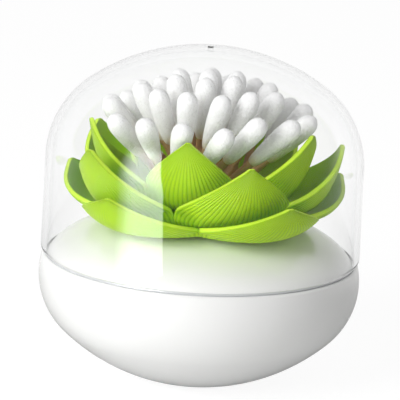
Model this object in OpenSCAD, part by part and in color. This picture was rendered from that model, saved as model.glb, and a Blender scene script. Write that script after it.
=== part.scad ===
// Cotton swab holder: a round-bottomed white base with a convex deck, a three-tier lotus
// whose mouth gathers a sheaf of cotton swabs, and a clear dome that lifts off.
// Millimetres, +Z up, origin at the middle of the foot. The front of the flower faces -Y.

/* [Base bowl] */
// Largest radius of the base
base_r = 47.6; // [45:0.1:56]
// Height of the seam between base and cover
seam_z = 37.25; // [34:0.25:46]
// How far below the seam the base is widest
belly_drop = 6.7; // [4:0.1:9]
// Radius of the rounded shoulder of the base
shoulder_r = 21.7; // [18:0.1:25]
// Radius of the flat foot
foot_r = 13.5; // [10:0.5:20]
// Wall of the base
base_wall = 2.2; // [1.6:0.1:3]
// Rounding of the base's rim and of the cover's foot
edge_r = 1.2; // [0.4:0.1:1.4]
// Height of the ring rib that carries the ballast, above the inside floor
rib_h = 3.4; // [2.5:0.1:4]

/* [Ballast] */
// Radius of the ballast disc
ballast_r = 20; // [16:0.5:22]
// Thickness of the ballast disc
ballast_t = 5; // [3:0.5:6]
// Radius of the ballast screw's thread
screw_r = 1.5; // [1.25:0.05:2]
// Radius of the ballast screw's head
screw_head_r = 3; // [2.5:0.1:4]

/* [Deck] */
// Height of the deck's crown above the seam
deck_rise = 13.2; // [12.6:0.1:14]
// How far below the seam the deck's ellipse is widest
deck_drop = 1.6; // [1:0.1:2]
// Wall of the deck
deck_wall = 2; // [1.4:0.1:2.4]
// Thickness of the flange that the cover stands on
flange_t = 0.8; // [0.6:0.1:1.4]
// How far the flange's edge lies inside the cover's face
flange_inset = 1.1; // [0.4:0.1:1.4]
// Depth of the skirt that plugs into the base
skirt_h = 5; // [3:0.5:7]
// Wall of the skirt and of the cup's socket
skirt_wall = 1.6; // [1.2:0.1:2]

/* [Cover] */
// How far the cover's face stands outside the base's rim
cover_step = 0.62; // [0:0.02:1.5]
// Height of the cover above the seam
cover_h = 62; // [60:0.5:75]
// Draft of the cover's side wall in degrees
cover_draft = 0.82; // [0.2:0.02:2]
// Radius of the cover's rounded shoulder
cover_knuckle_r = 27.9; // [18:0.1:32]
// Radius of the cover's crown
cover_crown_r = 60.6; // [52:0.1:80]
// Wall of the cover
cover_wall = 2; // [1.4:0.1:2.2]
// Radius of the gate mark on the crown
gate_r = 0.9; // [0.5:0.1:2]
// Height of the gate mark
gate_h = 0.4; // [0.2:0.1:1]

/* [Lotus] */
// Height of the lower petals' tips above the foot of their hub
lower_tip_h = 11.1; // [10:0.1:13]
// Height of the middle petals' tips above the foot of their hub
middle_tip_h = 20.1; // [18:0.1:22]
// Height of the inner petals' tips above the foot of their hub
inner_tip_h = 23.1; // [21:0.1:25]
// How far the middle petals' tips stand inside the lower ones
middle_inset = 3; // [2:0.1:5]
// How far the inner petals' tips stand inside the lower ones
inner_inset = 9.5; // [8:0.1:11]
// Petals in each tier
petals_per_tier = 5; // [5:1:6]
// Thickness of a petal
petal_t = 1.4; // [1:0.1:1.5]
// Depth of the ribs on a petal's outer face
rib_depth = 0.3; // [0.1:0.05:0.4]
// Ribs on a petal's outer face
rib_count = 8; // [6:1:8]
// Radius of the mouth that gathers the swabs
mouth_r = 14; // [13.6:0.1:14.6]
// Height of one tier's hub
hub_h = 2.4; // [2.2:0.1:2.6]
// Wall of the hub
hub_wall = 3.4; // [2.8:0.1:3.6]

/* [Swabs] */
// Length of a swab
swab_l = 78; // [76:0.5:79]
// Radius of the stick
stick_r = 1.15; // [0.9:0.05:1.2]
// Largest radius of the cotton bud
bud_r = 2.75; // [2.2:0.05:2.8]
// Length of the cotton bud
bud_l = 16; // [13:0.5:17]

/* [Clearances] */
// Gap all round between the cover and the deck
cover_gap = 0.3; // [0.2:0.05:0.6]
// Gap between the lower petals' tips and the deck's edge
petal_gap = 1; // [0.5:0.1:3]
// Gap between pieces that plug together
plug_gap = 0.05; // [0.02:0.01:0.15]
// Gap between a swab's end and the cup's floor
stand_gap = 0.3; // [0.1:0.05:0.5]

/* [Hidden] */
$fn = 96;
swab_rings = [
    // count, lean from upright, radius at the waist, first direction, unevenness of lean
    [1, 0, 0, 0, 0],
    [6, 15, 2.75, 12, 1.6],
    [12, 30, 5.75, 0, 2.2],
    [16, 47, 10.1, 7, 2.5]
];
swab_total = swab_rings[0][0] + swab_rings[1][0] + swab_rings[2][0] + swab_rings[3][0];
function swab_name(k) = str("swab_", k < 10 ? "0" : "", k);

arc_steps = 24;
round_steps = 6;
function arc(centre, r, from, to, steps = arc_steps) =
    [for (i = [0 : steps]) let (a = from + (to - from) * i / steps)
        centre + r * [cos(a), sin(a)]];

// Base: a bottom arc from the foot's edge, tangent to the shoulder arc
belly_z = seam_z - belly_drop;
shoulder_x = base_r - shoulder_r;
bottom_k = shoulder_x * shoulder_x + belly_z * belly_z - foot_r * foot_r - shoulder_r * shoulder_r;
bottom_a = belly_z * belly_z - shoulder_r * shoulder_r;
bottom_r = (bottom_k * shoulder_r + sqrt(pow(bottom_k * shoulder_r, 2)
            + bottom_a * (bottom_k * bottom_k + 4 * belly_z * belly_z * foot_r * foot_r)))
           / (2 * bottom_a);
bottom_z = sqrt(bottom_r * bottom_r - foot_r * foot_r);
// Slope where the bottom arc hands over to the shoulder arc
hand_over = atan2(belly_z - bottom_z, shoulder_x);
rim_z = seam_z - flange_t / 2;
function rim_angle(inset) = asin((rim_z - belly_z) / (shoulder_r - inset));
function rim_radius(inset) = shoulder_x + (shoulder_r - inset) * cos(rim_angle(inset));
// Centre of the rounding at the top of the outer face, tangent to the shoulder arc
rim_round_c = [shoulder_x + sqrt(pow(shoulder_r - edge_r, 2) - pow(rim_z - edge_r - belly_z, 2)),
               rim_z - edge_r];
rim_round_turn = atan2(rim_round_c[1] - belly_z, rim_round_c[0] - shoulder_x);
outer_face = concat(
    arc([0, bottom_z], bottom_r, asin(-bottom_z / bottom_r), hand_over),
    arc([shoulder_x, belly_z], shoulder_r, hand_over, rim_round_turn),
    arc(rim_round_c, edge_r, rim_round_turn, 90, round_steps));
// The base's outline at a given depth inside its outer face, from a low height to the rim
function base_outline(inset, low_z) = concat(
    arc([0, bottom_z], bottom_r - inset, asin((low_z - bottom_z) / (bottom_r - inset)), hand_over),
    arc([shoulder_x, belly_z], shoulder_r - inset, hand_over, rim_angle(inset)));

// Ballast: a disc on a ring rib, held by one screw in a boss
ballast_z = base_wall + rib_h;
rib_r = foot_r - 1;
rib_wall = 1.4;
boss_r = screw_r + 1.8;
screw_head_h = 1.8;
screw_clearance = 0.3;
screw_depth = rib_h - 0.4;
screw_reach = ballast_t - screw_head_h + screw_depth - 0.2;
slot_w = 0.7;

// Deck: half an ellipse
cover_r = rim_radius(0) + cover_step;
deck_b = deck_rise + deck_drop;
deck_edge_r = cover_r - cover_wall / cos(cover_draft) - cover_gap;
deck_a = deck_edge_r / sqrt(1 - pow(deck_drop / deck_b, 2));
deck_z = seam_z - deck_drop;
function deck_surface(r, inset) =
    deck_z + (deck_b - inset) * sqrt(1 - pow(r / (deck_a - inset), 2));
flange_top = seam_z + flange_t / 2;
skirt_r = rim_radius(base_wall) - plug_gap;
hub_r = mouth_r + hub_wall;
land_z = deck_surface(hub_r, 0) + 0.3;
throat_r = mouth_r + 1.2;

// Sheaf: every swab crosses the waist, and its lower end stands on a ball-shaped cup floor
waist_z = land_z + hub_h;
cup_r = swab_l / 2 + 0.3;
cup_wall = 1.5;
outer_ring = swab_rings[len(swab_rings) - 1];
swab_reach = norm([outer_ring[2], cup_r * sin(outer_ring[1] + outer_ring[4])]);
cup_rim_r = swab_reach + bud_r + cup_wall + stand_gap;
socket_h = 6;

// Cover
function cover_wall_run(r, h, knuckle, crown) =
    let (u = r - knuckle * cos(cover_draft), w = crown - h - knuckle * sin(cover_draft),
         b = w * cos(cover_draft) - u * sin(cover_draft),
         c = u * u + w * w - pow(crown - knuckle, 2))
    -b + sqrt(b * b - c);
function cover_outline(inset) =
    let (r = cover_r - inset / cos(cover_draft), h = cover_h - inset,
         k = cover_knuckle_r - inset, c = cover_crown_r - inset,
         run = cover_wall_run(r, h, k, c),
         kc = [r - run * sin(cover_draft) - k * cos(cover_draft),
               seam_z + run * cos(cover_draft) - k * sin(cover_draft)],
         cc = [0, seam_z + h - c],
         turn = atan2(kc[1] - cc[1], kc[0]))
    concat(arc(kc, k, cover_draft, turn), arc(cc, c, turn, 90));
function cover_face_r(z) = cover_r - (z - seam_z) * tan(cover_draft);
cover_round_c = [cover_face_r(flange_top + edge_r) - edge_r / cos(cover_draft), flange_top + edge_r];

// Lotus: each tier is [first direction, tip of the outer face (radius, height above the foot of
// its hub), two handles of the Bezier meridian as shares of the way to the tip, row where the
// edges part, how far the edges draw in and how far they rise, as shares of the tip]
root_r = hub_r + 0.3;
root_z = (hub_h - petal_t) / 2;
petal_reach = deck_edge_r - petal_gap;
lower_tier = [34.5, [petal_reach, lower_tip_h], [0.392, -0.252], [0.906, -0.261], 6, 0.091, 0.216];
middle_tier = [19, [petal_reach - middle_inset, middle_tip_h], [0.528, -0.184], [0.915, 0.085],
               5, 0.122, 0.129];
inner_tier = [-8.4, [petal_reach - inner_inset, inner_tip_h], [0.495, -0.03], [0.852, 0.251],
              5, 0.145, 0.065];
function handle(tip, share) = [root_r + share[0] * (tip[0] - root_r), share[1] * tip[1]];
function meridian(tier) = [[root_r, root_z], handle(tier[1], tier[2]), handle(tier[1], tier[3]), tier[1]];
// Two rows of points make the hub, and the rest run up the petal
petal_rows = 8;
last_row = petal_rows + 2;
petal_cols = 2 * rib_count;
petal_width = 180 / petals_per_tier;
tip_half = 0.9;
function bezier(p, v) = pow(1 - v, 3) * p[0] + 3 * pow(1 - v, 2) * v * p[1]
                        + 3 * (1 - v) * v * v * p[2] + pow(v, 3) * p[3];
function bezier_slope(p, v) = 3 * pow(1 - v, 2) * (p[1] - p[0])
                        + 6 * (1 - v) * v * (p[2] - p[1]) + 3 * v * v * (p[3] - p[2]);
function around(r, a, z) = [r * sin(a), -r * cos(a), z];
// Half the angle that a petal spans: whole below the row where the edges part, then closing
function petal_spread(tier, i) = i <= tier[4] ? petal_width
    : max(tip_half, petal_width * pow(cos(90 * (i - tier[4]) / (last_row - tier[4])), 0.9));
function petal_point(tier, inner, k, i, j) =
    let (turn = tier[0] + 360 * k / petals_per_tier, u = 2 * j / petal_cols - 1,
         a = turn + petal_spread(tier, i) * u)
    i == 0 ? around(mouth_r, a, inner * hub_h)
    : i == 1 ? around(hub_r, a, inner * hub_h)
    : let (v = (i - 2) / petal_rows, p = bezier(meridian(tier), v), slope = bezier_slope(meridian(tier), v),
           inward = [-slope[1], slope[0]] / norm(slope),
           groove = (j % 2) * rib_depth * sin(180 * v),
           depth = inner * petal_t + (1 - inner) * groove,
           cup = pow(petal_spread(tier, i) / petal_width * u, 2) * min(1, 4 * v * v))
      around(p[0] + depth * inward[0] - tier[5] * tier[1][0] * cup, a,
             p[1] + depth * inward[1] + tier[6] * tier[1][1] * cup);

module base_bowl() {
    color("white") difference() {
        union() {
            difference() {
                rotate_extrude() polygon(concat([[0, 0]], outer_face, [[0, rim_z]]));
                rotate_extrude() polygon(concat(base_outline(base_wall, base_wall),
                    [[rim_radius(base_wall), rim_z + 1], [0, rim_z + 1], [0, base_wall]]));
            }
            translate([0, 0, base_wall / 2]) cylinder(r = boss_r, h = rib_h + base_wall / 2);
            translate([0, 0, base_wall / 2]) difference() {
                cylinder(r = rib_r, h = rib_h + base_wall / 2);
                translate([0, 0, -1]) cylinder(r = rib_r - rib_wall, h = rib_h + base_wall + 2);
            }
        }
        translate([0, 0, ballast_z - screw_depth])
            cylinder(r = screw_r + plug_gap, h = screw_depth + 1);
    }
}

module ballast_disc() {
    color("dimgray") translate([0, 0, ballast_z]) difference() {
        cylinder(r = ballast_r, h = ballast_t);
        translate([0, 0, -1]) cylinder(r = screw_r + screw_clearance, h = ballast_t + 2);
        translate([0, 0, ballast_t - screw_head_h])
            cylinder(r = screw_head_r + screw_clearance, h = screw_head_h + 1);
    }
}

module ballast_screw() {
    color("silver") translate([0, 0, ballast_z + ballast_t - screw_head_h]) difference() {
        union() {
            cylinder(r = screw_head_r, h = screw_head_h);
            translate([0, 0, -screw_reach]) cylinder(r = screw_r, h = screw_reach + 0.1);
        }
        for (turn = [0, 90]) rotate(turn)
            translate([-screw_head_r * 0.6, -slot_w / 2, screw_head_h / 2])
                cube([screw_head_r * 1.2, slot_w, screw_head_h]);
    }
}

module swab_cup() {
    outer = cup_r + cup_wall;
    low = asin(cup_rim_r / outer) - 90;
    low_inner = asin((cup_rim_r - cup_wall) / cup_r) - 90;
    top_z = deck_surface(cup_rim_r, deck_wall) - 0.6;
    color("white") rotate_extrude() polygon(concat(
        arc([0, waist_z], outer, -90, low),
        [[cup_rim_r, top_z], [cup_rim_r - cup_wall, top_z]],
        arc([0, waist_z], cup_r, low_inner, -90)));
}

module deck() {
    color("white") difference() {
        union() {
            rotate_extrude() polygon(concat(
                [for (i = [0 : arc_steps]) let (a = acos(0) - acos(deck_drop / deck_b) +
                    acos(deck_drop / deck_b) * i / arc_steps)
                    [deck_a * cos(a), deck_z + deck_b * sin(a)]],
                [[0, rim_z], [deck_edge_r, rim_z]]));
            translate([0, 0, rim_z]) cylinder(r = cover_r - flange_inset, h = flange_t);
            translate([0, 0, rim_z - skirt_h]) cylinder(r = skirt_r, h = skirt_h + 0.2);
            translate([0, 0, land_z - 3]) cylinder(r = hub_r, h = 3);
        }
        rotate_extrude() intersection() {
            polygon(concat(
                [for (i = [0 : arc_steps]) let (a = 90 * i / arc_steps)
                    [(deck_a - deck_wall) * cos(a), deck_z + (deck_b - deck_wall) * sin(a)]],
                [[0, rim_z - skirt_h - 1], [deck_a, rim_z - skirt_h - 1], [deck_a, deck_z]]));
            square([skirt_r - skirt_wall, 2 * land_z]);
        }
        cylinder(r = throat_r, h = 2 * land_z);
    }
    color("white") difference() {
        translate([0, 0, deck_surface(cup_rim_r, deck_wall) - socket_h])
            cylinder(r = cup_rim_r + plug_gap + skirt_wall, h = socket_h + 0.4);
        translate([0, 0, deck_surface(cup_rim_r, deck_wall) - socket_h - 1])
            cylinder(r = cup_rim_r + plug_gap, h = socket_h + 3);
    }
}

// One tier: hub and petals as one moulding, a closed skin of two faces and their edges
module tier_skin(tier) {
    row = petal_cols + 1;
    // Neighbouring petals share their edge's points as far as the row where they part
    function at(inner, k, i, j) =
        let (shared = j == petal_cols && i <= tier[4],
             petal = shared ? (k + 1) % petals_per_tier : k)
        ((inner * petals_per_tier + petal) * (last_row + 1) + i) * row + (shared ? 0 : j);
    points = [for (inner = [0, 1]) for (k = [0 : petals_per_tier - 1])
        for (i = [0 : last_row]) for (j = [0 : petal_cols]) petal_point(tier, inner, k, i, j)];
    quads = [for (k = [0 : petals_per_tier - 1]) each concat(
        [for (i = [0 : last_row - 1]) for (j = [0 : petal_cols - 1])
            [at(0, k, i, j), at(0, k, i + 1, j), at(0, k, i + 1, j + 1), at(0, k, i, j + 1)]],
        [for (i = [0 : last_row - 1]) for (j = [0 : petal_cols - 1])
            [at(1, k, i, j), at(1, k, i, j + 1), at(1, k, i + 1, j + 1), at(1, k, i + 1, j)]],
        [for (i = [tier[4] : last_row - 1])
            [at(0, k, i, 0), at(1, k, i, 0), at(1, k, i + 1, 0), at(0, k, i + 1, 0)]],
        [for (i = [tier[4] : last_row - 1]) let (j = petal_cols)
            [at(0, k, i, j), at(0, k, i + 1, j), at(1, k, i + 1, j), at(1, k, i, j)]],
        [for (j = [0 : petal_cols - 1])
            [at(0, k, 0, j), at(0, k, 0, j + 1), at(1, k, 0, j + 1), at(1, k, 0, j)]],
        [for (j = [0 : petal_cols - 1]) let (i = last_row)
            [at(0, k, i, j), at(1, k, i, j), at(1, k, i, j + 1), at(0, k, i, j + 1)]])];
    polyhedron(points, [for (q = quads) each [[q[0], q[1], q[2]], [q[0], q[2], q[3]]]]);
}

module petals_lower() {
    color("yellowgreen") translate([0, 0, land_z]) tier_skin(lower_tier);
}

module petals_middle() {
    color("greenyellow") translate([0, 0, land_z + hub_h]) tier_skin(middle_tier);
}

module petals_inner() {
    color("yellowgreen") translate([0, 0, land_z + 2 * hub_h]) tier_skin(inner_tier);
}

module dome_cover() {
    color("lightcyan", 0.4) rotate_extrude() polygon(concat(
        arc(cover_round_c, edge_r, -90, cover_draft, round_steps), cover_outline(0),
        [for (i = [2 * arc_steps + 1 : -1 : 0]) cover_outline(cover_wall)[i]],
        [[cover_face_r(flange_top) - cover_wall / cos(cover_draft), flange_top]]));
    color("lightcyan", 0.4) translate([0, 0, seam_z + cover_h - 0.1])
        cylinder(r = gate_r, h = gate_h + 0.1);
}

// Outline of a swab from end to end, radius against length
bud_shape = [[0.03, 0.47], [0.06, 0.71], [0.13, 0.91], [0.23, 1], [0.38, 0.98], [0.56, 0.89], [0.75, 0.76], [0.9, 0.62]];
module swab_solid() {
    bud = [for (b = bud_shape) [b[1] * bud_r, b[0] * bud_l]];
    outline = concat([[0, 0]], bud, [[stick_r, bud_l]]);
    rotate_extrude($fn = 32) polygon(concat(outline,
        [for (i = [len(outline) - 1 : -1 : 0]) [outline[i][0], swab_l - outline[i][1]]]));
}

module swab(ring, i, k) {
    lean = ring[1] + ring[4] * sin(137.5 * k * k);
    drop = sqrt(pow(cup_r - stand_gap, 2) - ring[2] * ring[2]);
    color("linen") rotate(ring[3] + 360 * i / ring[0]) translate([ring[2], 0, waist_z])
        rotate([-lean, 0, 0]) translate([0, 0, -drop]) swab_solid();
}
function swabs_before(n) = n == 0 ? 0 : swab_rings[n - 1][0] + swabs_before(n - 1);

base_bowl();
ballast_disc();
ballast_screw();
swab_cup();
deck();
petals_lower();
petals_middle();
petals_inner();
dome_cover();
for (n = [0 : len(swab_rings) - 1])
    for (i = [0 : swab_rings[n][0] - 1])
        let (k = swabs_before(n) + i + 1)
            swab(swab_rings[n], i, k);
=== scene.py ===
import math
import random

import bpy
from mathutils import Matrix, Vector


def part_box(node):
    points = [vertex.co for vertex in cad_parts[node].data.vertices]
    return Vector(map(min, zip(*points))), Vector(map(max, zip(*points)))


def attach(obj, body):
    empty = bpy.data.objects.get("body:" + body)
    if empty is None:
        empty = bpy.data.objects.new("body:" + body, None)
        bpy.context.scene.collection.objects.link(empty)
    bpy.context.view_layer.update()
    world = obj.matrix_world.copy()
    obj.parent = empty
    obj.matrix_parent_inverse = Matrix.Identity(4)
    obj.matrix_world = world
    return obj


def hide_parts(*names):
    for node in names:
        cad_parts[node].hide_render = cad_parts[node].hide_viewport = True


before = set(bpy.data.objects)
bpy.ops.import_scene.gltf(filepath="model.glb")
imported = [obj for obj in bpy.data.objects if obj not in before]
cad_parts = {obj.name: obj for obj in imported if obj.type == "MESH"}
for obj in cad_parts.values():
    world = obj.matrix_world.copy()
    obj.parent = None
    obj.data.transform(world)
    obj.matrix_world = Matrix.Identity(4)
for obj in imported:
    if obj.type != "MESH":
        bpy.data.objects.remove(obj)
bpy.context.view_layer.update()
mm = 0.001


# Base bowl
# The white round-bottomed bowl that the whole holder stands in: one injection-moulded shell
# with a polished outside, a small flat foot and a rounded rim that the deck's flange lies on.
bowl_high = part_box("base_bowl")[1]
deck_low, deck_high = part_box("deck")
cover_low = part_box("dome_cover")[0]
flange_thickness = 0.8 * mm
seam_height = bowl_high.z + flange_thickness / 2
belly_radius = bowl_high.x
belly_drop = 6.7 * mm
shoulder_radius = 21.7 * mm
foot_radius = 13.5 * mm
bowl_wall = 2.2 * mm
edge_round = 1.2 * mm
white_colour = (0.87, 0.87, 0.86, 1)
# Painted shade along the seam between bowl and cover: its grey, half width and fade
seam_shade_colour = (0.6, 0.61, 0.62, 1)
seam_shade_half = 0.35 * mm
seam_shade_end = 0.6 * mm


def arc(centre, radius, start, end, steps=24):
    """Points of an arc in the plane of radius and height, from one angle to another in degrees."""
    turns = [math.radians(start + (end - start) * i / steps) for i in range(steps + 1)]
    return [(centre[0] + radius * math.cos(t), centre[1] + radius * math.sin(t)) for t in turns]


def turned(name, outline, steps=192):
    """A closed outline of (radius, height) points, drawn point by point and spun round Z."""
    bpy.ops.object.select_all(action="DESELECT")
    bpy.ops.mesh.primitive_plane_add(size=mm)
    piece = bpy.context.object
    piece.name = name
    bpy.ops.object.mode_set(mode="EDIT")
    bpy.ops.mesh.merge(type="CENTER")
    bpy.ops.transform.translate(value=(outline[0][0], 0, outline[0][1]))
    for before, after in zip(outline, outline[1:]):
        step = (after[0] - before[0], 0, after[1] - before[1])
        bpy.ops.mesh.extrude_region_move(TRANSFORM_OT_translate={"value": step})
    bpy.ops.mesh.select_all(action="SELECT")
    bpy.ops.mesh.spin(steps=steps, angle=2 * math.pi, center=(0, 0, 0), axis=(0, 0, 1))
    bpy.ops.mesh.select_all(action="SELECT")
    bpy.ops.mesh.remove_doubles(threshold=0.002 * mm)
    bpy.ops.mesh.normals_make_consistent(inside=False)
    bpy.ops.object.mode_set(mode="OBJECT")
    bpy.ops.object.shade_smooth_by_angle(angle=math.radians(40))
    return piece


class Value:
    """A node's output. Sums on it add Math nodes, so a pattern reads as a formula."""

    def __init__(self, nodes, output):
        self.nodes = nodes
        self.output = output

    def maths(self, operation, *others):
        values = dict(enumerate((self, *others)))
        return self.nodes.add("ShaderNodeMath", {"operation": operation}, values)

    def __add__(self, other):
        return self.maths("ADD", other)

    def __sub__(self, other):
        return self.maths("SUBTRACT", other)

    def __rsub__(self, other):
        return self.maths("MULTIPLY_ADD", -1, other)

    def __mul__(self, other):
        return self.maths("MULTIPLY", other)

    def __pow__(self, other):
        return self.maths("POWER", other)


class Nodes:
    """Adds nodes to the tree of one finish, lamp or backdrop."""

    def __init__(self, tree):
        self.tree = tree

    def add(self, kind, settings=None, sockets=None, output=0):
        node = self.tree.nodes.new(kind)
        for name, value in (settings or {}).items():
            setattr(node, name, value)
        for name, value in (sockets or {}).items():
            self.plug(node.inputs[name], value)
        return Value(self, node.outputs[output])

    def plug(self, socket, value):
        if isinstance(value, Value):
            self.tree.links.new(value.output, socket)
        else:
            socket.default_value = value


def finish(name, **sockets):
    """A material of one Principled surface, with its plain values set and its nodes at hand."""
    material = bpy.data.materials.new(name)
    material.use_nodes = True
    nodes = Nodes(material.node_tree)
    nodes.surface = material.node_tree.nodes["Principled BSDF"]
    for socket, value in sockets.items():
        nodes.surface.inputs[socket.replace("_", " ")].default_value = value
    return material, nodes


def grain(nodes, size, detail=2.0):
    """Noise over a piece's own place, with grains of about the given size."""
    place = nodes.add("ShaderNodeTexCoord", output="Object")
    return nodes.add("ShaderNodeTexNoise", {},
                     {"Vector": place, "Scale": 1 / size, "Detail": detail})


def bump(nodes, height, depth):
    """A bump of the given depth under the finish's surface."""
    normal = nodes.add("ShaderNodeBump", {}, {"Height": height, "Distance": depth})
    nodes.plug(nodes.surface.inputs["Normal"], normal)


def blend(nodes, share, first, second):
    """The first colour, which gives way to the second by the given share."""
    return nodes.add("ShaderNodeMix", {"data_type": "RGBA"}, {0: share, 6: first, 7: second}, 2)


def mix_surface(nodes, share, other):
    """Another shader takes the finish's place by the given share."""
    own = Value(nodes, nodes.surface.outputs[0])
    both = nodes.add("ShaderNodeMixShader", {}, {0: share, 1: own, 2: other})
    nodes.plug(nodes.tree.nodes["Material Output"].inputs["Surface"], both)


def dress(piece, *materials):
    """A piece wears the given materials and no others."""
    piece.data.materials.clear()
    for material in materials:
        piece.data.materials.append(material)


def ramp(value, low, high):
    """Rises smoothly from 0 at the low end to 1 at the high end."""
    return value.nodes.add("ShaderNodeMapRange", {"interpolation_type": "SMOOTHSTEP"},
                           {"Value": value, "From Min": low, "From Max": high})


def split(nodes, output):
    """X, Y and Z of a texture coordinate."""
    place = nodes.add("ShaderNodeTexCoord", output=output)
    parts = nodes.add("ShaderNodeSeparateXYZ", {}, {0: place}).output.node
    return [Value(nodes, socket) for socket in parts.outputs]


def moulded_white(name, roughness):
    """White plastic with a very shallow ripple, and painted shade greying the seam between bowl and
    cover.
    """
    material, nodes = finish(name, IOR=1.5)
    drift = grain(nodes, 14 * mm)
    height = split(nodes, "Object")[2]
    # Painted shade: a grey band at the height of the seam between bowl and cover
    seam_shade = 1 - ramp((height - seam_height).maths("ABSOLUTE"), seam_shade_half, seam_shade_end)
    shade = blend(nodes, seam_shade, white_colour, seam_shade_colour)
    nodes.plug(nodes.surface.inputs["Base Color"], shade)
    nodes.plug(nodes.surface.inputs["Roughness"], drift * 0.06 + roughness)
    bump(nodes, grain(nodes, 5 * mm), 0.01 * mm)
    return material


shoulder_centre = (belly_radius - shoulder_radius, seam_height - belly_drop)
# The bottom is one arc that passes through the foot's edge and runs into the shoulder arc
bottom_k = (shoulder_centre[0] ** 2 + shoulder_centre[1] ** 2
            - foot_radius ** 2 - shoulder_radius ** 2)
bottom_a = shoulder_centre[1] ** 2 - shoulder_radius ** 2
bottom_root = (bottom_k * shoulder_radius) ** 2 + bottom_a * (
    bottom_k ** 2 + 4 * shoulder_centre[1] ** 2 * foot_radius ** 2)
bottom_radius = (bottom_k * shoulder_radius + math.sqrt(bottom_root)) / (2 * bottom_a)
bottom_centre = (0, math.sqrt(bottom_radius ** 2 - foot_radius ** 2))
hand_over = math.degrees(math.atan2(shoulder_centre[1] - bottom_centre[1], shoulder_centre[0]))


def rim_turn(inset):
    """Angle at which the shoulder arc, at a depth inside the outer face, reaches the rim."""
    return math.degrees(math.asin((bowl_high.z - shoulder_centre[1]) / (shoulder_radius - inset)))


def bowl_outline(inset, low, end):
    """The bowl's section at a depth inside its outer face, from a height up the shoulder."""
    start = math.degrees(math.asin((low - bottom_centre[1]) / (bottom_radius - inset)))
    return (arc(bottom_centre, bottom_radius - inset, start, hand_over, 40)
            + arc(shoulder_centre, shoulder_radius - inset, hand_over, end, 40)[1:])


edge_height = bowl_high.z - edge_round
edge_reach = math.sqrt((shoulder_radius - edge_round) ** 2
                       - (edge_height - shoulder_centre[1]) ** 2)
edge_centre = (shoulder_centre[0] + edge_reach, edge_height)
edge_turn = math.degrees(math.atan2(edge_height - shoulder_centre[1],
                                    edge_centre[0] - shoulder_centre[0]))
outside = bowl_outline(0, 0, edge_turn) + arc(edge_centre, edge_round, edge_turn, 90, 8)[1:]
inside = bowl_outline(bowl_wall, bowl_wall, rim_turn(bowl_wall))
bowl = turned("bowl_shell", [(0, 0)] + outside + inside[::-1] + [(0, bowl_wall)])
shell_white = moulded_white("polished_white", 0.17)
dress(bowl, shell_white)
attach(bowl, "holder")
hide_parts("base_bowl")


# Ballast disc and its screw
# A cast-iron disc lies on the ring rib in the bowl and keeps the holder upright. One
# zinc-plated steel screw holds it down in the middle boss. Both hide under the deck.
cast_iron, nodes = finish("cast_iron", Metallic=0.6, Base_Color=(0.12, 0.12, 0.13, 1))
pits = grain(nodes, 1.2 * mm, 6.0)
nodes.plug(nodes.surface.inputs["Roughness"], pits * 0.3 + 0.5)
bump(nodes, pits, 0.15 * mm)
dress(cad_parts["ballast_disc"], cast_iron)

plated_steel, nodes = finish("plated_steel", Metallic=1.0, Base_Color=(0.72, 0.72, 0.7, 1))
nodes.plug(nodes.surface.inputs["Roughness"], grain(nodes, 0.4 * mm) * 0.25 + 0.2)
dress(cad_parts["ballast_screw"], plated_steel)


# Swab cup
# A white moulded cup with a ball-shaped floor, pushed into the socket under the deck. The
# lower ends of the swabs stand on it.
dress(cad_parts["swab_cup"], moulded_white("satin_white", 0.3))


# Deck
# The convex white shell that closes the bowl. Its flange shows as the line between bowl and
# cover, greyed there by painted shade. Its skirt plugs into the bowl, and the flower stands
# round the hole in its crown.
deck_rise = 13.2 * mm
deck_drop = 1.6 * mm
deck_wall = 2 * mm
cover_wall = 2 * mm
cover_gap = 0.3 * mm
cover_draft = 0.82
skirt_wall = 1.6 * mm
hub_radius = 17.4 * mm
throat_radius = 15.2 * mm
cover_step = 0.62 * mm
cup_rim_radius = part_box("swab_cup")[1].x
push_gap = 0.05 * mm
socket_depth = 6 * mm
land_edge = 0.4 * mm
flange_edge = flange_thickness / 2

rim_radius = shoulder_centre[0] + shoulder_radius * math.cos(math.radians(rim_turn(0)))
cover_radius = rim_radius + cover_step
deck_b = deck_rise + deck_drop
deck_edge = cover_radius - cover_wall / math.cos(math.radians(cover_draft)) - cover_gap
deck_a = deck_edge / math.sqrt(1 - (deck_drop / deck_b) ** 2)
deck_middle = seam_height - deck_drop
land_height = deck_high.z
skirt_radius = inside[-1][0] - push_gap
skirt_inner = skirt_radius - skirt_wall


def deck_surface(radius, inset):
    """Height of the deck's face, or of a face at a depth under it, at a radius."""
    return deck_middle + (deck_b - inset) * math.sqrt(1 - (radius / (deck_a - inset)) ** 2)


def deck_arc(inset, inner, outer, steps=40):
    """Points of the deck's face from a radius near the hole out to a wider one."""
    first = math.acos(inner / (deck_a - inset))
    last = math.acos(outer / (deck_a - inset))
    turns = [first + (last - first) * i / steps for i in range(steps + 1)]
    return [((deck_a - inset) * math.cos(t), deck_middle + (deck_b - inset) * math.sin(t))
            for t in turns]


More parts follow.
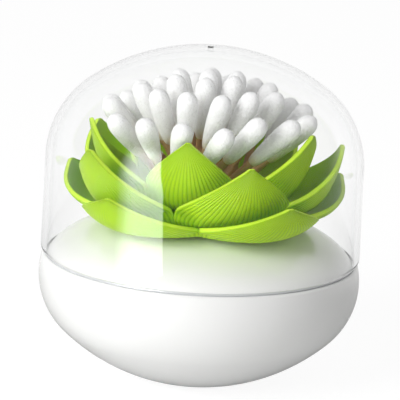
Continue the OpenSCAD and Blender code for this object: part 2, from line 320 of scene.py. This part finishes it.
flange_radius = deck_high.x
socket_outer = cup_rim_radius + push_gap + skirt_wall
socket_inner = cup_rim_radius + push_gap
socket_low = deck_surface(cup_rim_radius, deck_wall) - socket_depth
flange_top = bowl_high.z + flange_thickness
under_deck = deck_arc(deck_wall, throat_radius, socket_inner - 0.01 * mm)
beyond_socket = deck_arc(deck_wall, socket_outer, skirt_inner, 20)
deck_outline = (
    [(throat_radius, land_height - land_edge), (throat_radius + land_edge, land_height),
     (hub_radius - land_edge, land_height), (hub_radius, land_height - land_edge / 2)]
    + deck_arc(0, hub_radius + 0.05 * mm, deck_edge)
    + [(deck_edge, flange_top), (flange_radius - flange_edge, flange_top)]
    + arc((flange_radius - flange_edge, bowl_high.z + flange_edge), flange_edge, 80, -90, 8)
    + [(skirt_radius, bowl_high.z), (skirt_radius, deck_low.z), (skirt_inner, deck_low.z)]
    + beyond_socket[::-1]
    + [(socket_outer, socket_low), (socket_inner, socket_low)]
    + under_deck[::-1])
deck = turned("deck_shell", deck_outline + deck_outline[:1])
dress(deck, shell_white)
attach(deck, "holder")
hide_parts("deck")


# Lotus
# Three tiers of five petals, each tier one injection-moulded piece of lime green plastic that
# lets a little light through. Fine ribs run together at each petal's tip, on its outer face
# only. The hubs stack round the deck's hole and gather the swabs.
hub_height = 2.4 * mm
mouth_radius = 14 * mm
petal_thickness = 1.4 * mm
petals_in_tier = 5
half_petal = 180 / petals_in_tier
rib_depth = 0.22 * mm
petal_rows = 26
root = (hub_radius + 0.3 * mm, (hub_height - petal_thickness) / 2)
tip_half = 0.9
edge_share = 0.985
# lime is the plastic's own colour. The inner faces wear a darker copy of it as painted shade, and
# the rims a lighter copy as painted highlight.
lime = (0.5, 0.76, 0.008, 1)
lime_inner_shade = (0.4, 0.66, 0.006, 1)
lime_rim_highlight = (0.6, 0.84, 0.06, 1)
deep_lime = (0.3, 0.56, 0.003, 1)
deep_inner_shade = (0.34, 0.6, 0.004, 1)


def petal_green(name, colour, deep_colour, ribs):
    """Green plastic. With ribs, painted shade makes the fold between two of them darker than their
    backs.
    """
    material, nodes = finish(name, IOR=1.49, Roughness=0.42, Specular_IOR_Level=0.15,
                             Subsurface_Weight=0.35, Subsurface_Scale=1.5 * mm,
                             Subsurface_Radius=(0.7, 1, 0.1))
    cloud_and_fold_shade = grain(nodes, 9 * mm) * 0.5
    if ribs:
        lie = nodes.add("ShaderNodeUVMap", {"uv_map": "UVMap"})
        across = nodes.add("ShaderNodeSeparateXYZ", {}, {0: lie})
        wave = (across * (2 * math.pi * ribs)).maths("COSINE") * 0.5 + 0.5
        fold_bump_and_shade = wave ** 3
        bump(nodes, 1 - fold_bump_and_shade, 0.12 * mm)
        # Painted shade: the folds between ribs are pulled towards the deep colour
        cloud_and_fold_shade = cloud_and_fold_shade + fold_bump_and_shade * 0.75
    else:
        bump(nodes, grain(nodes, 1.5 * mm), 0.02 * mm)
    nodes.plug(nodes.surface.inputs["Base Color"], blend(nodes, cloud_and_fold_shade, colour, deep_colour))
    return material


# Darker green on the inner faces is painted shade; lighter green on the rims is a painted
# highlight.
petal_inner_shaded = petal_green("petal_inside_shaded", lime_inner_shade, deep_inner_shade, 0)
petal_rim_lit = petal_green("petal_rim_lit", lime_rim_highlight, lime, 0)


def bezier(points, t):
    """Point and slope of a cubic curve of (radius, height) points."""
    a, b, c, d = (Vector(p) for p in points)
    point = (1 - t) ** 3 * a + 3 * (1 - t) ** 2 * t * b + 3 * (1 - t) * t * t * c + t ** 3 * d
    slope = 3 * (1 - t) ** 2 * (b - a) + 6 * (1 - t) * t * (c - b) + 3 * t * t * (d - c)
    return point, slope


def petal_tier(name, node, hub, turn, meridian, part, draw, rise, ribs):
    """One tier: a petal shaped from a flat grid, set round five times, and given its wall."""
    foot = land_height + hub * hub_height
    curve = [root] + [(r * mm, z * mm) for r, z in meridian]
    columns = 2 * ribs
    bpy.ops.object.select_all(action="DESELECT")
    bpy.ops.mesh.primitive_grid_add(size=2, x_subdivisions=columns + 2,
                                    y_subdivisions=petal_rows + 3)
    tier = bpy.context.object
    tier.name = name
    mesh = tier.data
    across = mesh.attributes.new("across", "FLOAT", "POINT")
    along = mesh.attributes.new("along", "FLOAT", "POINT")
    for vertex in mesh.vertices:
        column = round((vertex.co.x + 1) / 2 * (columns + 2))
        row = round((vertex.co.y + 1) / 2 * (petal_rows + 3))
        if column in (0, columns + 2):
            u = column / (columns + 2) * 2 - 1
        else:
            u = ((column - 1) / columns * 2 - 1) * edge_share
        across.data[vertex.index].value = u
        last = petal_rows + 2
        along.data[vertex.index].value = (
            row - 2 if row < 2 else 1.0 if row > last else (row - 2) / petal_rows * edge_share)

    def petal_point(u, v, inner, direction=None):
        """A point of a petal's outer or inner face. v is -2 at the mouth, -1 at the hub's edge."""
        spread = half_petal if v <= part else max(
            tip_half, half_petal * math.cos(math.pi / 2 * (v - part) / (1 - part)) ** 0.9)
        angle = math.radians(turn + spread * u) if direction is None else direction
        if v < 0:
            radius = mouth_radius if v < -1.5 else hub_radius
            height = inner * hub_height
        else:
            point, slope = bezier(curve, v)
            inward = Vector((-slope.y, slope.x)).normalized()
            rib = (0.5 - 0.5 * math.cos(math.pi * u / edge_share * ribs)) if abs(u) < 1 else 0
            depth = petal_thickness if inner else rib * rib_depth * math.sin(math.pi * v)
            cup = (spread / half_petal * u) ** 2 * min(1, 4 * v * v)
            radius = point.x + depth * inward.x - draw * mm * cup
            height = point.y + depth * inward.y + rise * mm * cup
        return (radius * math.sin(angle), -radius * math.cos(angle), foot + height)

    for vertex in mesh.vertices:
        vertex.co = petal_point(across.data[vertex.index].value, along.data[vertex.index].value, 0)
    bpy.ops.object.mode_set(mode="EDIT")
    bpy.ops.mesh.select_all(action="SELECT")
    bpy.ops.mesh.spin(steps=petals_in_tier - 1, dupli=True, center=(0, 0, 0), axis=(0, 0, 1),
                      angle=2 * math.pi * (petals_in_tier - 1) / petals_in_tier)
    bpy.ops.mesh.select_all(action="SELECT")
    bpy.ops.mesh.remove_doubles(threshold=0.01 * mm)
    bpy.ops.mesh.normals_make_consistent(inside=False)
    bpy.ops.object.mode_set(mode="OBJECT")
    dress(tier, petal_green(f"{name}_outside", lime, deep_lime, ribs), petal_inner_shaded, petal_rim_lit)
    outer_count = len(mesh.vertices)
    wall = tier.modifiers.new("wall", "SOLIDIFY")
    wall.thickness = petal_thickness
    wall.offset = -1
    wall.material_offset = 1
    wall.material_offset_rim = 2
    bpy.ops.object.modifier_apply(modifier=wall.name)
    mesh = tier.data
    across = mesh.attributes["across"].data
    along = mesh.attributes["along"].data
    for vertex in mesh.vertices[outer_count:]:
        twin = mesh.vertices[vertex.index - outer_count].co
        direction = math.atan2(twin.x, -twin.y)
        u, v = across[vertex.index].value, along[vertex.index].value
        vertex.co = petal_point(u, v, 1, direction)
    smooth = tier.modifiers.new("rounding", "SUBSURF")
    smooth.levels = smooth.render_levels = 1
    bpy.ops.object.modifier_apply(modifier=smooth.name)
    bpy.ops.object.shade_smooth()
    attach(tier, "holder")
    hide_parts(node)


petal_tier("lower_petals", "petals_lower", 0, 34.5, [(28, -2.8), (41.5, -2.9), (44, 11.1)],
           0.5, 4, 2.4, 28)
petal_tier("middle_petals", "petals_middle", 1, 19, [(30, -3.7), (39, 1.7), (41, 20.1)],
           0.375, 5, 2.6, 28)
petal_tier("inner_petals", "petals_inner", 2, -8.4, [(26, -0.7), (32, 5.8), (34.5, 23.1)],
           0.375, 5, 1.5, 24)


# Swabs
# Rolled paper sticks, pale brown, with a bud of wound cotton on each end. They stand loose in
# the cup, cross in the flower's mouth and fan out in nested rings above it.
swab_length = 78 * mm
stick_radius = 1.15 * mm
bud_radius = 3.05 * mm
bud_length = 18.5 * mm
fluffy_length = swab_length + 1.6 * mm
waist_height = land_height + hub_height
cup_radius = swab_length / 2 + 0.3 * mm
stand_gap = 0.3 * mm
# Count, lean from upright, radius at the waist in mm, first direction, unevenness of lean
swab_rings = [(1, 0, 0, 0, 0), (6, 14.5, 2.75, 12, 1.6), (12, 29, 5.75, 0, 2.2),
              (16, 44.5, 10.1, 7, 2.5)]
# Shares of the bud's length and radius, from its tip
bud_shape = [(0, 0), (0.008, 0.25), (0.03, 0.47), (0.06, 0.69), (0.1, 0.85), (0.15, 0.95),
             (0.23, 1), (0.38, 0.98), (0.56, 0.89), (0.75, 0.76), (0.9, 0.62), (0.96, 0.52),
             (1, 0.42)]
cotton_white = (0.97, 0.97, 0.96, 1)
cotton_thin = (0.8, 0.66, 0.42, 1)
paper_brown = (0.76, 0.5, 0.25, 1)
paper_fleck = (0.6, 0.35, 0.15, 1)
lump_size = 2.2 * mm
lump_depth = 0.7 * mm

cotton, nodes = finish("cotton", Roughness=0.9, Sheen_Weight=0.3, Sheen_Roughness=0.5,
                       Subsurface_Weight=1.0, Subsurface_Scale=2.5 * mm,
                       Subsurface_Radius=(1, 1, 1), Specular_IOR_Level=0.1)
from_tip = nodes.add("ShaderNodeAttribute", {"attribute_name": "depth"}, output=2)
wound = blend(nodes, ramp(from_tip, 0.72, 1.08), cotton_white, cotton_thin)
nodes.plug(nodes.surface.inputs["Base Color"], wound)
bump(nodes, grain(nodes, 0.7 * mm, 3.0) + grain(nodes, 2 * mm), 0.35 * mm)
paper, nodes = finish("rolled_paper", Roughness=0.7, Specular_IOR_Level=0.3)
flecks = blend(nodes, grain(nodes, 1 * mm, 4.0), paper_brown, paper_fleck)
nodes.plug(nodes.surface.inputs["Base Color"], flecks)
bump(nodes, grain(nodes, 0.3 * mm), 0.03 * mm)

bud = []
for (low, low_share), (high, high_share) in zip(bud_shape, bud_shape[1:]):
    pieces = 2 if high > 0.2 else 1
    for i in range(pieces):
        t = i / pieces
        bud.append(((low_share + (high_share - low_share) * t) * bud_radius,
                    (low + (high - low) * t) * bud_length))
bud.append((stick_radius, bud_length))
swab_outline = bud + [(radius, fluffy_length - height) for radius, height in bud[::-1]]
first_swab = turned("cotton_swab", swab_outline, 24)
dress(first_swab, cotton, paper)
for face in first_swab.data.polygons:
    height = face.center.z
    face.material_index = 1 if bud_length < height < fluffy_length - bud_length else 0
lumps = bpy.data.textures.new("cotton_lumps", "CLOUDS")
lumps.noise_scale = lump_size
cotton_ends = first_swab.vertex_groups.new(name="cotton_ends")
cotton_ends.add([v.index for v in first_swab.data.vertices
                 if not 0.97 * bud_length < v.co.z < fluffy_length - 0.97 * bud_length], 1.0, "ADD")
depth = first_swab.data.attributes.new("depth", "FLOAT", "POINT")
for vertex in first_swab.data.vertices:
    depth.data[vertex.index].value = min(vertex.co.z, fluffy_length - vertex.co.z) / bud_length

random.seed(7)
number = 0
for count, lean, waist_radius, first_turn, unevenness in swab_rings:
    for i in range(count):
        number += 1
        tilt = math.radians(lean + unevenness * math.sin(math.radians(137.5 * number * number)))
        drop = math.sqrt((cup_radius - stand_gap) ** 2 - (waist_radius * mm) ** 2)
        place = (Matrix.Rotation(math.radians(first_turn + 360 * i / count), 4, "Z")
                 @ Matrix.Translation((waist_radius * mm, 0, waist_height))
                 @ Matrix.Rotation(-tilt, 4, "X")
                 @ Matrix.Translation((0, 0, -drop))
                 @ Matrix.Rotation(random.uniform(0, 2 * math.pi), 4, "Z"))
        swab = bpy.data.objects.new(f"cotton_swab_{number:02d}", first_swab.data.copy())
        bpy.context.collection.objects.link(swab)
        swab.data.transform(place)
        bpy.ops.object.select_all(action="DESELECT")
        swab.select_set(True)
        bpy.context.view_layer.objects.active = swab
        group = swab.vertex_groups.new(name="cotton_ends")
        displace = swab.modifiers.new("lumps", "DISPLACE")
        displace.texture = lumps
        displace.texture_coords = "LOCAL"
        displace.vertex_group = group.name
        displace.strength = lump_depth
        displace.mid_level = 0.6
        bpy.ops.object.modifier_apply(modifier=displace.name)
        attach(swab, "holder")
        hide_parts(f"swab_{number:02d}")
bpy.data.objects.remove(first_swab)


# Dome cover
# The clear cover, moulded in acrylic with a slight draft, a rounded shoulder and the gate
# mark on its crown. It stands loose on the flange and lifts straight off.
cover_height = 62 * mm
knuckle_radius = 27.9 * mm
crown_radius = 60.6 * mm
gate_radius = 0.9 * mm
gate_height = 0.4 * mm
draft = math.radians(cover_draft)


def cover_outline(inset, steps=40):
    """The cover's section at a depth inside its outer face: wall, shoulder arc and crown arc."""
    radius = cover_radius - inset / math.cos(draft)
    knuckle, crown = knuckle_radius - inset, crown_radius - inset
    out = radius - knuckle * math.cos(draft)
    up = crown - (cover_height - inset) - knuckle * math.sin(draft)
    b = up * math.cos(draft) - out * math.sin(draft)
    run = -b + math.sqrt(b * b - out * out - up * up + (crown - knuckle) ** 2)
    knuckle_centre = (radius - run * math.sin(draft) - knuckle * math.cos(draft),
                      seam_height + run * math.cos(draft) - knuckle * math.sin(draft))
    crown_centre = (0, seam_height + cover_height - inset - crown)
    turn = math.degrees(math.atan2(knuckle_centre[1] - crown_centre[1], knuckle_centre[0]))
    crown_end = 90 if inset else math.degrees(math.acos(gate_radius / crown))
    return (arc(knuckle_centre, knuckle, cover_draft, turn, steps)
            + arc(crown_centre, crown, turn, crown_end, steps)[1:])


def cover_face(height):
    """Radius of the cover's outer wall at a height."""
    return cover_radius - (height - seam_height) * math.tan(draft)


def rays(nodes, *names):
    """1 for the named kinds of ray and 0 for the others."""
    return [nodes.add("ShaderNodeLightPath", output=f"Is {name} Ray") for name in names]


foot_inner = cover_face(cover_low.z) - cover_wall / math.cos(draft)
foot_top = cover_low.z + edge_round
foot_centre = (cover_face(foot_top) - edge_round / math.cos(draft), foot_top)
gate_top = seam_height + cover_height + gate_height
gate_edge = 0.15 * mm
cover_section = (
    [(foot_inner, cover_low.z)]
    + arc(foot_centre, edge_round, -90, cover_draft, 8)
    + cover_outline(0)
    + [(gate_radius, gate_top - gate_edge), (gate_radius - gate_edge, gate_top), (0, gate_top)]
    + cover_outline(cover_wall)[::-1]
    + [(foot_inner, cover_low.z)])
cover = turned("clear_dome", cover_section, 256)
clear, nodes = finish("clear_plastic", IOR=1.49, Roughness=0.0, Transmission_Weight=1.0,
                      Specular_Tint=(0.35, 0.35, 0.35, 1))
# Painted shade: the cover turns grey where its face is seen edge-on, which draws its outline
facing = nodes.add("ShaderNodeLayerWeight", {}, {"Blend": 0.5}, 1)
painted_edge_shade = blend(nodes, facing ** 4, (1, 1, 1, 1), (0.74, 0.76, 0.76, 1))
nodes.plug(nodes.surface.inputs["Base Color"], painted_edge_shade)
shadow_ray, diffuse_ray = rays(nodes, "Shadow", "Diffuse")
open_air = nodes.add("ShaderNodeBsdfTransparent")
mix_surface(nodes, shadow_ray.maths("MAXIMUM", diffuse_ray), open_air)
dress(cover, clear)
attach(cover, "cover")
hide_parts("dome_cover")


# Studio
# A plain white floor under and behind the holder, one large soft lamp at the front left and an
# even pale surround. Mirror images of it are dim towards the camera, as a room behind a camera
# is. A tall bright panel near the cover's front left gives the pale window on the cover.
backdrop_glow = 1.08
backdrop_share = 0.85
surround = 0.4
dim_side = 0.12
key_size = 0.5
key_power = 6.6
window_width = 0.16
window_height = 0.3
window_glow = 42


def ray_kinds(nodes):
    """1 or 0 for rays straight from the camera, mirrored rays and rays through clear pieces."""
    camera, glossy, clear = rays(nodes, "Camera", "Glossy", "Transmission")
    return camera, glossy * (1 - clear), clear


def mirrored(depth, near, far):
    """How bright a mirror image is: dim towards the camera and full behind the holder."""
    return ramp(depth, near, far) * (1 - dim_side) + dim_side


bpy.ops.object.select_all(action="DESELECT")
bpy.ops.mesh.primitive_plane_add(size=6, location=(0, 0, -0.05 * mm))
floor = bpy.context.object
floor.name = "studio_floor"
floor_white, nodes = finish("floor_white", Base_Color=(0.9, 0.9, 0.9, 1), Roughness=0.9)
camera_ray, mirror_ray, clear_ray = ray_kinds(nodes)
depth = split(nodes, "Object")[1]
glow = (camera_ray + clear_ray) * backdrop_glow + mirror_ray * mirrored(depth, -0.05, 0.25)
light = nodes.add("ShaderNodeEmission", {}, {"Color": (1, 1, 1, 1), "Strength": glow})
mix_surface(nodes, (camera_ray + clear_ray) * backdrop_share + mirror_ray, light)
dress(floor, floor_white)

world = bpy.data.worlds.new("studio")
bpy.context.scene.world = world
world.use_nodes = True
nodes = Nodes(world.node_tree)
camera_ray, mirror_ray, clear_ray = ray_kinds(nodes)
depth = split(nodes, "Generated")[1]
seen = camera_ray + mirror_ray + clear_ray
strength = (camera_ray + clear_ray + mirror_ray * mirrored(depth, 0.0, 0.6)
            + (1 - seen) * surround)
nodes.plug(world.node_tree.nodes["Background"].inputs["Strength"], strength)
world.node_tree.nodes["Background"].inputs["Color"].default_value = (1, 1, 1, 1)


def aimed(thing, place, aim):
    """Puts a lamp or panel in its place and turns its face to a point."""
    thing.location = place
    thing.rotation_euler = (Vector(aim) - Vector(place)).to_track_quat("-Z", "Y").to_euler()
    thing.visible_camera = False


key = bpy.data.lights.new("key_lamp", "AREA")
key.shape = "SQUARE"
key.size, key.energy = key_size, key_power
key_lamp = bpy.data.objects.new("key_lamp", key)
bpy.context.collection.objects.link(key_lamp)
aimed(key_lamp, (-0.54, -0.61, 0.43), (0, 0, 0.05))
key_lamp.visible_glossy = key_lamp.visible_transmission = False

bpy.ops.object.select_all(action="DESELECT")
bpy.ops.mesh.primitive_plane_add(size=1)
window = bpy.context.object
window.name = "window_panel"
window.scale = (window_width, window_height, 1)
aimed(window, (-0.1, -0.13, 0.1), (0, -0.02, 0.1))
window.visible_diffuse = window.visible_transmission = window.visible_shadow = False
pane, nodes = finish("window_pane", Base_Color=(0, 0, 0, 1))
# The panel's brightness, in metres over its face: soft at the left, upper and lower ends, and
# sharp along the slanting right edge
x, y = split(nodes, "Object")[:2]
across, down = x * window_width, y * -window_height
left_end = ramp(across, -0.055, -0.01)
upper_end = ramp(down, -0.075, -0.03)
lower_end = 1 - ramp(down, 0.02, 0.065) * 0.4
right_edge = 1 - ramp(across - down * 0.14, 0.0305, 0.0325)
brightness = left_end * upper_end * lower_end * right_edge
nodes.plug(nodes.surface.inputs["Emission Strength"], brightness * window_glow)
nodes.surface.inputs["Emission Color"].default_value = (0.97, 1, 1, 1)
dress(window, pane)


# Camera
# A long lens from the front and a little above, turned slightly, as the photograph has it.
lens_pixels = 2696
frame_pixels = 400
sensor_width = 36
camera_distance = 800 * mm
camera_elevation = math.radians(14.66)
camera_roll = math.radians(2.98)
seam_below_middle = 52.98
camera_data = bpy.data.cameras.new("camera")
camera_data.sensor_width = sensor_width
camera_data.lens = lens_pixels / frame_pixels * sensor_width
camera = bpy.data.objects.new("camera", camera_data)
bpy.context.collection.objects.link(camera)
back = Vector((0, -math.cos(camera_elevation), math.sin(camera_elevation)))
level = (-back).to_track_quat("-Z", "Y").to_matrix().to_4x4()
tilt_up = math.atan(seam_below_middle / lens_pixels)
seam_middle = Vector((0, 0, seam_height))
camera.matrix_world = (Matrix.Translation(seam_middle + back * camera_distance) @ level
                       @ Matrix.Rotation(camera_roll, 4, "Z")
                       @ Matrix.Rotation(tilt_up, 4, "X"))
bpy.context.scene.camera = camera
bpy.context.scene.view_settings.view_transform = "Standard"
